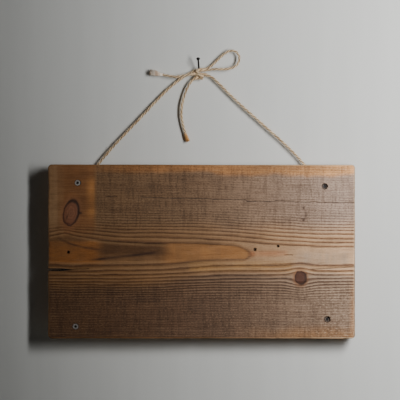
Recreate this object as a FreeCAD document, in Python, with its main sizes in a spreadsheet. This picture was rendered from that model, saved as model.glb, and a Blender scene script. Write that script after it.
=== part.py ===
"""A weathered board plaque that hangs from a wall nail on jute twine tied in a half bow.

Frame: millimetres, +Z up, +X to the right and -Y towards the viewer. The wall is the plane y = 0,
and the origin is the point where the nail goes into it.
"""

import FreeCAD, Part
import math
import os
import Sketcher

V = FreeCAD.Vector
ORIGIN = V(0, 0, 0)

# Driving dimensions in millimetres, and angles in degrees.
SIZES = {
    "board_length": 300,
    "board_height": 170,
    "board_thick": 18,
    "board_middle_x": 2,
    "board_top_z": -86.5,
    "board_corner": 3.5,
    "board_arris": 1.4,
    "batten_thick": 12,
    "batten_width": 20,
    "batten_top_z": -99.5,
    "batten_length": 152,
    "batten_chamfer": 0.8,
    "batten_skin": 0.8,
    "left_batten_x": -121,
    "right_batten_x": 125,
    "split_length": 17,
    "split_gape": 2,
    "split_drop": 17.7,
    "old_nail_depth": 6,
    "screw_length": 25,
    "screw_core": 1.4,
    "screw_body": 1.7,
    "screw_head": 2.7,
    "screw_point": 5,
    "screw_taper": 3,
    "screw_recess": 1.5,
    "cross_arm": 0.32,
    "cross_wing": 1.25,
    "screw_play": 0.05,
    "shallow_sink": 0.4,
    "deep_sink": 4,
    "eye_wire": 2,
    "eye_ring": 3.4,
    "eye_stand_off": 5.4,
    "eye_thread_length": 12,
    "eye_point": 3,
    "eye_ring_sweep": 346,
    "eye_z": -95.2,
    "left_eye_x": -105,
    "right_eye_x": 109,
    "eye_turn": 25,
    "nail_body": 0.9,
    "nail_head": 1.8,
    "nail_head_thick": 0.8,
    "nail_out": 25,
    "nail_in": 25,
    "nail_point": 3,
    "nail_slope": 45,
    "nail_lean": 4.3,
    "twine_width": 2.6,
    "knot_x": -0.6,
    "knot_y": -5.9,
    "knot_z": 4.1,
    "knot_half_length": 4.6,
    "knot_half_depth": 4.1,
    "knot_half_height": 4.3,
    "knot_way": 2.1,
    "fray_width": 6.5,
    "fray_length": 9.5,
    "tip_width": 5.5,
    "tip_length": 5,
}

# Screw places on the board's face: x, z, and how far the head is sunk.
SCREWS = {
    "upper_left_screw": (-119.1, -104.3, "shallow_sink"),
    "lower_left_screw": (-121.1, -244.7, "shallow_sink"),
    "upper_right_screw": (122.4, -107.7, "deep_sink"),
    "lower_right_screw": (124.9, -237.6, "deep_sink"),
}

# Holes left by the nails of the board's first use: x, z, radius.
OLD_NAIL_HOLES = [(-128.0, -172.1, 1.1), (54.3, -169.4, 1.25), (76.8, -166.2, 1.0)]

# The middle of the twine's stretches, from point to point. scene.py repeats these lists in metres.
HANGING_TWINE = [
    (-2.9, -4.4, 6.4),
    (-13.5, -4.5, 2.2),
    (-33.0, -4.8, -13.4),
    (-62.0, -5.4, -44.6),
    (-85.0, -6.1, -68.3),
    (-105.7, -6.6, -93.3),
    (-104.0, -6.6, -97.0),
    (108.0, -6.6, -97.0),
    (109.7, -6.6, -93.2),
    (86.0, -6.3, -67.6),
    (62.0, -6.0, -46.8),
    (32.0, -5.6, -19.8),
    (17.6, -5.5, -4.9),
    (9.6, -5.6, 2.0),
    (2.0, -6.0, 2.8),
]
BOW_LOOP = [
    (2.2, -4.2, 6.6),
    (10.5, -4.6, 8.9),
    (18.5, -5.4, 17.4),
    (27.4, -6.3, 25.2),
    (34.4, -7.0, 26.2),
    (39.0, -7.5, 21.6),
    (39.2, -7.9, 14.6),
    (34.2, -8.2, 8.8),
    (24.5, -8.3, 7.2),
    (12.5, -8.1, 7.8),
    (2.6, -7.6, 6.0),
]
LEFT_TAIL = [
    (-3.2, -7.6, 3.4),
    (-12.5, -8.2, 1.6),
    (-22.5, -7.8, -0.4),
    (-31.5, -7.0, 1.2),
    (-40.0, -6.4, 3.0),
]
HANGING_TAIL = [
    (-1.4, -6.0, 1.0),
    (-8.6, -6.6, -3.6),
    (-14.6, -6.0, -16.6),
    (-18.4, -5.2, -32.0),
    (-17.0, -4.6, -46.6),
    (-12.8, -4.4, -59.0),
]

os.makedirs("parts", exist_ok=True)
doc = FreeCAD.newDocument("plaque")
sheet = doc.addObject("Spreadsheet::Sheet", "sizes")


def fill_sheet():
    """Write each driving dimension to a row of the sheet, with its alias."""
    for row, (alias, number) in enumerate(SIZES.items(), start=1):
        sheet.set(f"A{row}", alias)
        sheet.set(f"B{row}", str(number))
        sheet.setAlias(f"B{row}", alias)
    doc.recompute()


def size(alias):
    """A driving dimension as the sheet holds it."""
    return float(sheet.get(alias))


def bind(thing, formulas):
    """Bind properties to formulas in which each alias is written as sizes.alias."""
    for prop, formula in formulas.items():
        thing.setExpression(prop, formula)


def new_body(name):
    body = doc.addObject("PartDesign::Body", name)
    body.Label = name
    return body


def new_sketch(body, name, role, lift=None):
    """A sketch on one of the body's own origin planes, raised along its normal by a formula."""
    sketch = body.newObject("Sketcher::SketchObject", name)
    plane = next(f for f in body.Origin.OriginFeatures if f.Role == role)
    sketch.AttachmentSupport = (plane, [""])
    sketch.MapMode = "FlatFace"
    if lift:
        sketch.setExpression("AttachmentOffset.Base.z", lift)
    return sketch


def outline(sketch, corners, named=()):
    """Closed straight outline through corners. named gives (corner, axis, name, formula) locks."""
    count = len(corners)
    for k in range(count):
        a, b = corners[k], corners[(k + 1) % count]
        sketch.addGeometry(Part.LineSegment(V(*a, 0), V(*b, 0)), False)
    for k in range(count):
        sketch.addConstraint(Sketcher.Constraint("Coincident", k, 2, (k + 1) % count, 1))
    for corner, axis, name, formula in named:
        kind = {"x": "DistanceX", "y": "DistanceY"}[axis]
        value = corners[corner][0 if axis == "x" else 1]
        lock = sketch.addConstraint(Sketcher.Constraint(kind, -1, 1, corner, 1, value))
        sketch.renameConstraint(lock, name)
        sketch.setExpression(f"Constraints.{name}", formula)


def circles(sketch, places):
    """Circles at (x, y, radius formula name, radius): each radius is bound to its formula."""
    for k, (x, y, formula, radius) in enumerate(places):
        sketch.addGeometry(Part.Circle(V(x, y, 0), V(0, 0, 1), radius), False)
        lock = sketch.addConstraint(Sketcher.Constraint("Radius", k, radius))
        if formula:
            sketch.renameConstraint(lock, f"radius_{k}")
            sketch.setExpression(f"Constraints.radius_{k}", formula)


def pad(body, sketch, name, length):
    feature = body.newObject("PartDesign::Pad", name)
    feature.Profile = sketch
    feature.setExpression("Length", length)
    doc.recompute()
    return feature


def pocket(body, sketch, name, length, reverse=False):
    """Cut the sketch into the body by a length formula, and make sure that something was cut."""
    before = body.Shape.Volume
    feature = body.newObject("PartDesign::Pocket", name)
    feature.Profile = sketch
    feature.Reversed = reverse
    feature.setExpression("Length", length)
    doc.recompute()
    if body.Shape.Volume > before - 0.01:
        raise RuntimeError(f"{name} cuts nothing")
    return feature


def dress(body, kind, name, base, edges, prop, formula):
    """Fillet or Chamfer the named edges of base, with its size bound to a formula."""
    feature = body.newObject(kind, name)
    feature.Base = (base, edges)
    feature.setExpression(prop, formula)
    doc.recompute()
    return feature


def edges_where(shape, test):
    return [f"Edge{k}" for k, edge in enumerate(shape.Edges, start=1) if test(edge)]


def across(edge):
    """Whether a straight edge runs along Y, through the thickness."""
    ends = edge.Vertexes[-1].Point - edge.Vertexes[0].Point
    return abs(ends.y) > 0.9 * ends.Length


def make_board():
    """The board: a rounded slab with worn edges, an end split, screw holes and old nail holes."""
    body = new_body("plaque_board")
    half_x, half_z = size("board_length") / 2, size("board_height") / 2
    face = new_sketch(body, "board_face", "XZ_Plane")
    outline(
        face,
        [(-half_x, -half_z), (half_x, -half_z), (half_x, half_z), (-half_x, half_z)],
        [
            (0, "x", "left", "-sizes.board_length / 2"),
            (0, "y", "bottom", "-sizes.board_height / 2"),
            (1, "x", "right", "sizes.board_length / 2"),
            (1, "y", "bottom_right", "-sizes.board_height / 2"),
            (2, "x", "right_top", "sizes.board_length / 2"),
            (2, "y", "top", "sizes.board_height / 2"),
            (3, "x", "left_top", "-sizes.board_length / 2"),
            (3, "y", "top_left", "sizes.board_height / 2"),
        ],
    )
    slab = pad(body, face, "slab", "sizes.board_thick")
    corners = edges_where(slab.Shape, across)
    rounded = dress(
        body, "PartDesign::Fillet", "corners", slab, corners, "Radius", "sizes.board_corner"
    )
    rim = edges_where(rounded.Shape, lambda e: not across(e))
    dress(body, "PartDesign::Fillet", "arrises", rounded, rim, "Radius", "sizes.board_arris")

    split = new_sketch(body, "split_outline", "XZ_Plane")
    drop, gape = size("split_drop"), size("split_gape")
    tip_x = -half_x + size("split_length")
    outline(
        split,
        [(-half_x, -drop + gape / 2), (tip_x, -drop), (-half_x, -drop - gape / 2)],
        [
            (0, "x", "mouth", "-sizes.board_length / 2"),
            (0, "y", "lip", "-sizes.split_drop + sizes.split_gape / 2"),
            (1, "x", "tip", "-sizes.board_length / 2 + sizes.split_length"),
            (1, "y", "depth", "-sizes.split_drop"),
            (2, "x", "lower_mouth", "-sizes.board_length / 2"),
            (2, "y", "lower_lip", "-sizes.split_drop - sizes.split_gape / 2"),
        ],
    )
    pocket(body, split, "end_split", "sizes.board_thick", reverse=True)

    middle_x = size("board_middle_x")
    middle_z = size("board_top_z") - half_z
    ways = new_sketch(body, "screw_ways", "XZ_Plane")
    circles(
        ways,
        [
            (x - middle_x, z - middle_z, "sizes.screw_body + sizes.screw_play", 1.75)
            for x, z, _ in SCREWS.values()
        ],
    )
    pocket(body, ways, "screw_way_holes", "sizes.board_thick", reverse=True)
    for sink in ("shallow_sink", "deep_sink"):
        heads = new_sketch(body, f"{sink}_heads", "XZ_Plane", "sizes.board_thick")
        circles(
            heads,
            [
                (x - middle_x, z - middle_z, "sizes.screw_head + sizes.screw_play", 2.75)
                for x, z, depth in SCREWS.values()
                if depth == sink
            ],
        )
        depth = f"sizes.{sink} + sizes.screw_head - sizes.screw_body"
        pocket(body, heads, f"{sink}_holes", depth)
    old = new_sketch(body, "old_nail_places", "XZ_Plane", "sizes.board_thick")
    circles(old, [(x - middle_x, z - middle_z, None, r) for x, z, r in OLD_NAIL_HOLES])
    pocket(body, old, "old_nail_holes", "sizes.old_nail_depth")
    bind(
        body,
        {
            "Placement.Base.x": "sizes.board_middle_x",
            "Placement.Base.y": "-sizes.batten_thick",
            "Placement.Base.z": "sizes.board_top_z - sizes.board_height / 2",
        },
    )


def make_batten(side):
    """A batten behind one end of the board, against the wall, with a pilot hole for each screw."""
    body = new_body(f"{side}_batten")
    half = size("batten_width") / 2
    long = size("batten_length")
    face = new_sketch(body, f"{side}_batten_face", "XZ_Plane")
    outline(
        face,
        [(-half, -long), (half, -long), (half, 0), (-half, 0)],
        [
            (0, "x", "left", "-sizes.batten_width / 2"),
            (0, "y", "bottom", "-sizes.batten_length"),
            (1, "x", "right", "sizes.batten_width / 2"),
            (1, "y", "bottom_right", "-sizes.batten_length"),
            (2, "x", "right_top", "sizes.batten_width / 2"),
            (3, "x", "left_top", "-sizes.batten_width / 2"),
        ],
    )
    bar = pad(body, face, f"{side}_bar", "sizes.batten_thick")
    every = edges_where(bar.Shape, lambda e: True)
    dress(
        body, "PartDesign::Chamfer", f"{side}_bevels", bar, every, "Size", "sizes.batten_chamfer"
    )
    pilots = new_sketch(body, f"{side}_pilots", "XZ_Plane", "sizes.batten_thick")
    middle, top = size(f"{side}_batten_x"), size("batten_top_z")
    circles(
        pilots,
        [
            (x - middle, z - top, "sizes.screw_body + sizes.screw_play", 1.75)
            for name, (x, z, _) in SCREWS.items()
            if side in name
        ],
    )
    pocket(body, pilots, f"{side}_pilot_holes", "sizes.batten_thick - sizes.batten_skin")
    bind(
        body,
        {
            "Placement.Base.x": f"sizes.{side}_batten_x",
            "Placement.Base.z": "sizes.batten_top_z",
        },
    )


def make_screw(name, place_x, place_z, sink):
    """A countersunk wood screw: a turned profile about its axis, with a cross recess in its head.

    Its own frame has the head's flat top at z = 0 and the point at -screw_length.
    """
    body = new_body(name)
    half = new_sketch(body, f"{name}_section", "XZ_Plane")
    head, shank, core = size("screw_head"), size("screw_body"), size("screw_core")
    long, point = size("screw_length"), size("screw_point")
    cone, taper = head - shank, point + size("screw_taper")
    outline(
        half,
        [(0, 0), (head, 0), (shank, -cone), (shank, taper - long), (core, point - long), (0, -long)],
        [
            (1, "x", "head", "sizes.screw_head"),
            (2, "x", "body", "sizes.screw_body"),
            (2, "y", "under_head", "sizes.screw_body - sizes.screw_head"),
            (3, "x", "body_end", "sizes.screw_body"),
            (4, "x", "core", "sizes.screw_core"),
            (5, "y", "point", "-sizes.screw_length"),
        ],
    )
    turned = body.newObject("PartDesign::Revolution", f"{name}_turned")
    turned.Profile = half
    turned.ReferenceAxis = (half, ["V_Axis"])
    turned.Angle = 360
    doc.recompute()
    recess = new_sketch(body, f"{name}_cross", "XY_Plane")
    arm, wing = size("cross_arm"), size("cross_wing")
    outline(
        recess,
        [
            (arm, arm),
            (wing, arm),
            (wing, -arm),
            (arm, -arm),
            (arm, -wing),
            (-arm, -wing),
            (-arm, -arm),
            (-wing, -arm),
            (-wing, arm),
            (-arm, arm),
            (-arm, wing),
            (arm, wing),
        ],
    )
    pocket(body, recess, f"{name}_recess", "sizes.screw_recess")
    body.Placement = FreeCAD.Placement(
        V(place_x, 0, place_z), FreeCAD.Rotation(V(0, 0, 1), V(0, -1, 0))
    )
    face = "-sizes.batten_thick - sizes.board_thick"
    body.setExpression("Placement.Base.y", f"{face} + sizes.{sink}")


def part(kind, name, formulas, placement=None):
    """A Part primitive with its sizes bound to formulas."""
    thing = doc.addObject(kind, name)
    bind(thing, formulas)
    if placement:
        thing.Placement = placement
    return thing


def make_eye(side):
    """A screw eye in the board's back: a nearly closed wire ring on a threaded shank.

    Its own frame has the ring's middle at the origin and the shank along -Y, into the board. The
    ring lies level, turned about the shank so that the twine pulls on its inner end.
    """
    inwards = 1 if side == "left" else -1
    ring = part(
        "Part::Torus",
        f"{side}_ring",
        {"Radius1": "sizes.eye_ring", "Radius2": "sizes.eye_wire / 2"},
        FreeCAD.Placement(ORIGIN, FreeCAD.Rotation(V(0, 0, 1), -90)),
    )
    bind(ring, {"Angle3": "sizes.eye_ring_sweep"})
    into_board = FreeCAD.Rotation(V(0, 0, 1), V(0, -1, 0))
    start = size("eye_ring")
    shank = part(
        "Part::Cylinder",
        f"{side}_eye_shank",
        {
            "Radius": "sizes.eye_wire / 2",
            "Height": "sizes.eye_stand_off - sizes.eye_ring + sizes.eye_thread_length - sizes.eye_point",
        },
        FreeCAD.Placement(V(0, -start, 0), into_board),
    )
    point_start = size("eye_point") - size("eye_stand_off") - size("eye_thread_length")
    point = part(
        "Part::Cone",
        f"{side}_eye_point",
        {"Radius1": "sizes.eye_wire / 2", "Height": "sizes.eye_point"},
        FreeCAD.Placement(V(0, point_start, 0), into_board),
    )
    point.Radius2 = 0
    eye = doc.addObject("Part::MultiFuse", f"{side}_screw_eye")
    eye.Label = f"{side}_screw_eye"
    eye.Shapes = [ring, shank, point]
    eye.Placement.Rotation = FreeCAD.Rotation(V(0, 1, 0), -inwards * size("eye_turn"))
    bind(
        eye,
        {
            "Placement.Base.x": f"sizes.{side}_eye_x",
            "Placement.Base.y": "sizes.eye_stand_off - sizes.batten_thick",
            "Placement.Base.z": "sizes.eye_z",
        },
    )


def drill_eye_holes():
    """The holes that the two screw eyes' shanks fill, drilled into the board from its back."""
    board = doc.getObject("plaque_board")
    holes = new_sketch(board, "eye_hole_places", "XZ_Plane")
    middle_x = size("board_middle_x")
    drop = size("eye_z") - size("board_top_z") + size("board_height") / 2
    circles(
        holes,
        [
            (size(f"{side}_eye_x") - middle_x, drop, "sizes.eye_wire / 2 + sizes.screw_play", 1.05)
            for side in ("left", "right")
        ],
    )
    pocket(board, holes, "eye_holes", "sizes.eye_thread_length", reverse=True)


def nail_direction():
    """The way the nail points out of the wall: up, towards the viewer, and a little to the left."""
    slope, lean = math.radians(size("nail_slope")), math.radians(size("nail_lean"))
    side = -math.tan(lean) * math.sin(slope)
    return V(side, -math.cos(slope), math.sin(slope)).normalize()


def make_nail():
    """The wall nail: a turned profile with its own z = 0 at the wall and its head upwards."""
    body = new_body("wall_nail")
    half = new_sketch(body, "nail_section", "XZ_Plane")
    shank, head, thick = size("nail_body"), size("nail_head"), size("nail_head_thick")
    top, tip, point = size("nail_out"), -size("nail_in"), size("nail_point")
    outline(
        half,
        [
            (0, tip),
            (shank, tip + point),
            (shank, top - 1.5 * thick),
            (head, top - 0.7 * thick),
            (head, top - 0.2 * thick),
            (0.6 * head, top),
            (0, top),
        ],
        [
            (0, "y", "tip", "-sizes.nail_in"),
            (1, "x", "body", "sizes.nail_body"),
            (1, "y", "shoulder", "-sizes.nail_in + sizes.nail_point"),
            (2, "x", "neck", "sizes.nail_body"),
            (3, "x", "head", "sizes.nail_head"),
            (6, "y", "top", "sizes.nail_out"),
        ],
    )
    turned = body.newObject("PartDesign::Revolution", "nail_turned")
    turned.Profile = half
    turned.ReferenceAxis = (half, ["V_Axis"])
    turned.Angle = 360
    doc.recompute()
    body.Placement = FreeCAD.Placement(ORIGIN, FreeCAD.Rotation(V(0, 0, 1), nail_direction()))


def cord_wire(points):
    """A wire of straight runs joined by tangent arcs, and the arcs' radii.

    Each arc's radius is 0.45 of the shorter of its two runs, over the tangent of half the turn.
    """
    points = [V(*p) for p in points]
    edges, radii = [], []
    start = points[0]
    for before, corner, after in zip(points, points[1:], points[2:]):
        back, ahead = (before - corner), (after - corner)
        shorter = min(back.Length, ahead.Length)
        back.normalize()
        ahead.normalize()
        turn = math.pi - back.getAngle(ahead)
        reach = 0.45 * shorter
        radius = reach / math.tan(turn / 2)
        enter, leave = corner + back * reach, corner + ahead * reach
        middle = (back + ahead).normalize()
        bulge = corner + middle * (radius / math.cos(turn / 2) - radius)
        edges.append(Part.LineSegment(start, enter).toShape())
        edges.append(Part.Arc(enter, bulge, leave).toShape())
        radii.append(round(radius, 1))
        start = leave
    edges.append(Part.LineSegment(start, points[-1]).toShape())
    return Part.Wire(edges), radii


def make_cord(name, points):
    """A round tube of the twine's width along a route of hand-placed points."""
    wire, radii = cord_wire(points)
    heading = V(*points[1]) - V(*points[0])
    round_section = Part.Circle(V(*points[0]), heading, size("twine_width") / 2)
    tube = wire.makePipeShell([Part.Wire(round_section.toShape())], True, True)
    expected = math.pi * (size("twine_width") / 2) ** 2 * wire.Length
    print(f"{name}: {wire.Length:.1f} mm, radii {radii}, volume share {tube.Volume / expected:.4f}")
    if abs(tube.Volume / expected - 1) > 0.01:
        raise RuntimeError(f"{name} isn't a clean tube")
    cord = doc.addObject("Part::Feature", name)
    cord.Label = name
    cord.Shape = tube
    cord.Placement = FreeCAD.Placement()


def make_knot():
    """The knot: an egg of twine round the nail, with room for the nail to turn in it."""
    egg = part(
        "Part::Ellipsoid",
        "knot_egg",
        {
            "Radius1": "sizes.knot_half_height",
            "Radius2": "sizes.knot_half_length",
            "Radius3": "sizes.knot_half_depth",
        },
        FreeCAD.Placement(V(size("knot_x"), size("knot_y"), size("knot_z")), FreeCAD.Rotation()),
    )
    way = part(
        "Part::Cylinder",
        "knot_nail_way",
        {"Radius": "sizes.knot_way", "Height": "sizes.nail_out"},
        FreeCAD.Placement(
            nail_direction() * -5, FreeCAD.Rotation(V(0, 0, 1), nail_direction())
        ),
    )
    knot = doc.addObject("Part::Cut", "bow_knot")
    knot.Label = "bow_knot"
    knot.Base = egg
    knot.Tool = way


def make_frayed_end(name, tail, width, long):
    """The unlaid yarns at a tail's end: a cone that opens from the twine's width."""
    end, before = V(*tail[-1]), V(*tail[-2])
    brush = part(
        "Part::Cone",
        name,
        {
            "Radius1": "sizes.twine_width / 2",
            "Radius2": f"sizes.{width} / 2",
            "Height": f"sizes.{long}",
        },
        FreeCAD.Placement(end, FreeCAD.Rotation(V(0, 0, 1), end - before)),
    )
    brush.Label = name


def check_and_write(names):
    """Stop if any object failed or any sub-part isn't a valid solid, then write the STEP files."""
    doc.recompute()
    failed = [o.Name for o in doc.Objects if {"Invalid", "Error"} & set(o.State)]
    if failed:
        raise RuntimeError(f"failed objects: {failed}")
    for name in names:
        shape = doc.getObject(name).Shape
        if shape.isNull() or not shape.isValid() or shape.Volume <= 0:
            raise RuntimeError(f"{name} has no valid solid")
        shape.exportStep(f"parts/{name}.step")
        print(f"{name}: {shape.Volume:.1f} mm3, {len(shape.Solids)} solid")


fill_sheet()
make_board()
for side in ("left", "right"):
    make_batten(side)
    make_eye(side)
drill_eye_holes()
for name, place in SCREWS.items():
    make_screw(name, *place)
make_nail()
make_cord("hanging_twine", HANGING_TWINE)
make_cord("bow_loop", BOW_LOOP)
make_cord("left_tail", LEFT_TAIL)
make_cord("hanging_tail", HANGING_TAIL)
make_knot()
make_frayed_end("left_frayed_end", LEFT_TAIL, "fray_width", "fray_length")
make_frayed_end("hanging_frayed_end", HANGING_TAIL, "tip_width", "tip_length")
check_and_write(
    ["plaque_board", "left_batten", "right_batten", *SCREWS]
    + ["left_screw_eye", "right_screw_eye", "wall_nail", "hanging_twine", "bow_knot"]
    + ["bow_loop", "left_tail", "left_frayed_end", "hanging_tail", "hanging_frayed_end"]
)
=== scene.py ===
"""A weathered pine plaque on two battens, hung from a nail by jute twine tied in a bow.

Lengths inside the timber functions are millimetres on the board's own face, where u runs right
and w runs up from its middle.
"""

import math

import bpy
import numpy as np
from bpy.props import FloatProperty, IntProperty, PointerProperty, StringProperty
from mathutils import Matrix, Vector


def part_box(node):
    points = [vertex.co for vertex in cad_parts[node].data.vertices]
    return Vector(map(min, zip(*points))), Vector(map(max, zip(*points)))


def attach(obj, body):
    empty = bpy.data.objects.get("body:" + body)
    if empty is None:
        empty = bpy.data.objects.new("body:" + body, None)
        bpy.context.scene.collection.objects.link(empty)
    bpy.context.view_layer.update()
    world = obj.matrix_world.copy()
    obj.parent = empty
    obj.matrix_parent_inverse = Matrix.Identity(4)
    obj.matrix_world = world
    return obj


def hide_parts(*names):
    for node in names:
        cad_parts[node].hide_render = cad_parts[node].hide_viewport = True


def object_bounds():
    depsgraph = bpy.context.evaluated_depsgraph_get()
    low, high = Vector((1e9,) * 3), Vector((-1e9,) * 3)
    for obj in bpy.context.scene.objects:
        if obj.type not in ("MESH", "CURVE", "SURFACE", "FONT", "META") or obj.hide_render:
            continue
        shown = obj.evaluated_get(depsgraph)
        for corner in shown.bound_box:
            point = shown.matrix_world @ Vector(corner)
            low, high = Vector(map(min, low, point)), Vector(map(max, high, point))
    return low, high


bl_info = {
    "name": "Hanging Pine Plaque",
    "version": (1, 0, 0),
    "blender": (4, 5, 0),
    "location": "View3D > Sidebar > Plaque",
    "description": "Builds a weathered board on battens with its screws, nail and jute twine",
    "category": "Add Mesh",
}

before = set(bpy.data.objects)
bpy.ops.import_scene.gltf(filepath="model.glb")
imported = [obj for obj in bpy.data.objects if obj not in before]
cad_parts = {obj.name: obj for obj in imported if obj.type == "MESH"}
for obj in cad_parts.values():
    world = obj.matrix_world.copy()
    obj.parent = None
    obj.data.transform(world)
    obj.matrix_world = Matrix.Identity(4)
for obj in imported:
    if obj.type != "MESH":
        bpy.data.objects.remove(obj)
CAD_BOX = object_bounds()
MM = 0.001

BOARD_LOW, BOARD_HIGH = (np.array(corner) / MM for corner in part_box("plaque_board"))
BOARD_MIDDLE = (BOARD_LOW + BOARD_HIGH) / 2
SUNK_SCREWS = ("upper_left_screw", "lower_left_screw", "upper_right_screw", "lower_right_screw")
BATTENS = ("left_batten", "right_batten")

# ---------------------------------------------------------------- the twine's routes, in metres

HANGING_TWINE = [
    (-0.0029, -0.0044, 0.0064), (-0.0135, -0.0045, 0.0022), (-0.0330, -0.0048, -0.0134),
    (-0.0620, -0.0054, -0.0446), (-0.0850, -0.0061, -0.0683), (-0.1057, -0.0066, -0.0933),
    (-0.1040, -0.0066, -0.0970), (0.1080, -0.0066, -0.0970), (0.1097, -0.0066, -0.0932),
    (0.0860, -0.0063, -0.0676), (0.0620, -0.0060, -0.0468), (0.0320, -0.0056, -0.0198),
    (0.0176, -0.0055, -0.0049), (0.0096, -0.0056, 0.0020), (0.0020, -0.0060, 0.0028),
]
BOW_LOOP = [
    (0.0022, -0.0042, 0.0066), (0.0105, -0.0046, 0.0089), (0.0185, -0.0054, 0.0174),
    (0.0274, -0.0063, 0.0252), (0.0344, -0.0070, 0.0262), (0.0390, -0.0075, 0.0216),
    (0.0392, -0.0079, 0.0146), (0.0342, -0.0082, 0.0088), (0.0245, -0.0083, 0.0072),
    (0.0125, -0.0081, 0.0078), (0.0026, -0.0076, 0.0060),
]
LEFT_TAIL = [
    (-0.0032, -0.0076, 0.0034), (-0.0125, -0.0082, 0.0016), (-0.0225, -0.0078, -0.0004),
    (-0.0315, -0.0070, 0.0012), (-0.0400, -0.0064, 0.0030),
]
HANGING_TAIL = [
    (-0.0014, -0.0060, 0.0010), (-0.0086, -0.0066, -0.0036), (-0.0146, -0.0060, -0.0166),
    (-0.0184, -0.0052, -0.0320), (-0.0170, -0.0046, -0.0466), (-0.0128, -0.0044, -0.0590),
]
# The three crossings inside the knot: the upper one behind the nail, the lower one before it, and the
# fat turn that binds them.
UPPER_CROSSING = [(-0.0062, -0.0045, 0.0051), (-0.0030, -0.0043, 0.0066), (0.0000, -0.0036, 0.0072),
                  (0.0030, -0.0042, 0.0068), (0.0068, -0.0045, 0.0078)]
LOWER_CROSSING = [(0.0076, -0.0057, 0.0024), (0.0030, -0.0064, 0.0028), (-0.0004, -0.0074, 0.0024),
                  (-0.0040, -0.0078, 0.0032), (-0.0080, -0.0080, 0.0024)]
BINDING_TURN = [(0.0068, -0.0079, 0.0070), (0.0026, -0.0080, 0.0068), (-0.0010, -0.0086, 0.0068),
                (-0.0036, -0.0092, 0.0052), (-0.0008, -0.0098, 0.0030), (0.0018, -0.0096, 0.0010),
                (0.0032, -0.0074, -0.0008), (0.0016, -0.0052, -0.0016), (-0.0012, -0.0056, -0.0002),
                (-0.0050, -0.0064, -0.0020)]


# ---------------------------------------------------------------- small tools

def linear(code):
    """A colour socket's value from an sRGB hex code: each channel through the sRGB curve to linear light."""
    parts = [int(code[i:i + 2], 16) / 255 for i in (1, 3, 5)]
    return (*(c / 12.92 if c <= 0.04045 else ((c + 0.055) / 1.055) ** 2.4 for c in parts), 1.0)


def add(tree, kind, inputs=None, **settings):
    """Adds a node; inputs maps a socket's name or number to a value or to the socket that feeds it."""
    made = tree.nodes.new(kind)
    for name, value in settings.items():
        setattr(made, name, value)
    for key, value in (inputs or {}).items():
        if isinstance(value, bpy.types.NodeSocket):
            tree.links.new(value, made.inputs[key])
        else:
            made.inputs[key].default_value = value
    return made


def finish_of(name, roughness, metallic=0.0, specular=0.5):
    """A new material, its node tree and its shader, with the plain numbers set on the shader itself."""
    material = bpy.data.materials.new(name)
    material.use_nodes = True
    shader = material.node_tree.nodes["Principled BSDF"]
    shader.inputs["Roughness"].default_value = roughness
    shader.inputs["Metallic"].default_value = metallic
    shader.inputs["Specular IOR Level"].default_value = specular
    shader.inputs["IOR"].default_value = 1.5
    return material, material.node_tree, shader


def coat(tree, shader, colour, height, depth, strength, roughness=None):
    """Feeds the shader its colour, a bump of a depth in metres and, where it varies, its roughness."""
    tree.links.new(colour, shader.inputs["Base Color"])
    if roughness is not None:
        tree.links.new(roughness, shader.inputs["Roughness"])
    bump = add(tree, "ShaderNodeBump", {"Height": height, "Distance": depth, "Strength": strength})
    tree.links.new(bump.outputs[0], shader.inputs["Normal"])


def switch(tree, share, first, second, output):
    """Sends an output the first shader where share is 0 and the second where it is 1."""
    both = add(tree, "ShaderNodeMixShader", {0: share, 1: first.outputs[0], 2: second.outputs[0]})
    tree.links.new(both.outputs[0], tree.nodes[output].inputs["Surface"])


def blended(tree, share, low, high, mode="MIX"):
    """Colour low towards high by share, each a socket or a hex code, as one Mix node's result."""
    low, high = (linear(colour) if isinstance(colour, str) else colour for colour in (low, high))
    mix = add(tree, "ShaderNodeMix", {0: share, 6: low, 7: high}, data_type="RGBA", blend_type=mode)
    return mix.outputs[2]


def ramp(tree, value, *stops):
    """Colours by value, blended between stops that are each a place and a hex code."""
    made = add(tree, "ShaderNodeValToRGB", {0: value})
    elements = made.color_ramp.elements
    while len(elements) < len(stops):
        elements.new(0.5)
    for element, (place, code) in zip(elements, stops):
        element.position, element.color = place, linear(code)
    return made.outputs["Color"]


def maths(tree, operation, first, second=0.0, third=0.0, clamp=False):
    """One Math node's result."""
    return add(tree, "ShaderNodeMath", {0: first, 1: second, 2: third},
               operation=operation, use_clamp=clamp).outputs[0]


def times(tree, first, second, clamp=False):
    """The product of two numbers or sockets."""
    return maths(tree, "MULTIPLY", first, second, clamp=clamp)


def sloped(tree, value, slope, start, clamp=False):
    """A value times slope, plus start."""
    return maths(tree, "MULTIPLY_ADD", value, slope, start, clamp)


def attribute(tree, name):
    """A float stored on the piece's points."""
    return add(tree, "ShaderNodeAttribute", attribute_name=name).outputs["Fac"]


def speckle(tree, pitch_mm, detail=3.0, roughness=0.55, distortion=0.0):
    """Noise on Object coordinates whose grains measure about pitch_mm along X, Y and Z."""
    place = add(tree, "ShaderNodeTexCoord").outputs["Object"]
    scaled = add(tree, "ShaderNodeMapping", {"Vector": place, "Scale": [1 / (p * MM) for p in pitch_mm]})
    return add(tree, "ShaderNodeTexNoise",
               {"Vector": scaled.outputs[0], "Scale": 1.0, "Detail": detail,
                "Roughness": roughness, "Distortion": distortion}).outputs["Fac"]


def between(tree, value, low, high):
    """value rescaled so that low gives 0 and high gives 1, held inside 0 to 1, with an eased middle."""
    return add(tree, "ShaderNodeMapRange", {"Value": value, "From Min": low, "From Max": high},
               interpolation_type="SMOOTHSTEP").outputs["Result"]


def ease(value, low, high):
    """0 below low, 1 above high, and 3t^2 - 2t^3 between them."""
    t = np.clip((value - low) / (high - low), 0, 1)
    return t * t * (3 - 2 * t)


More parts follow.
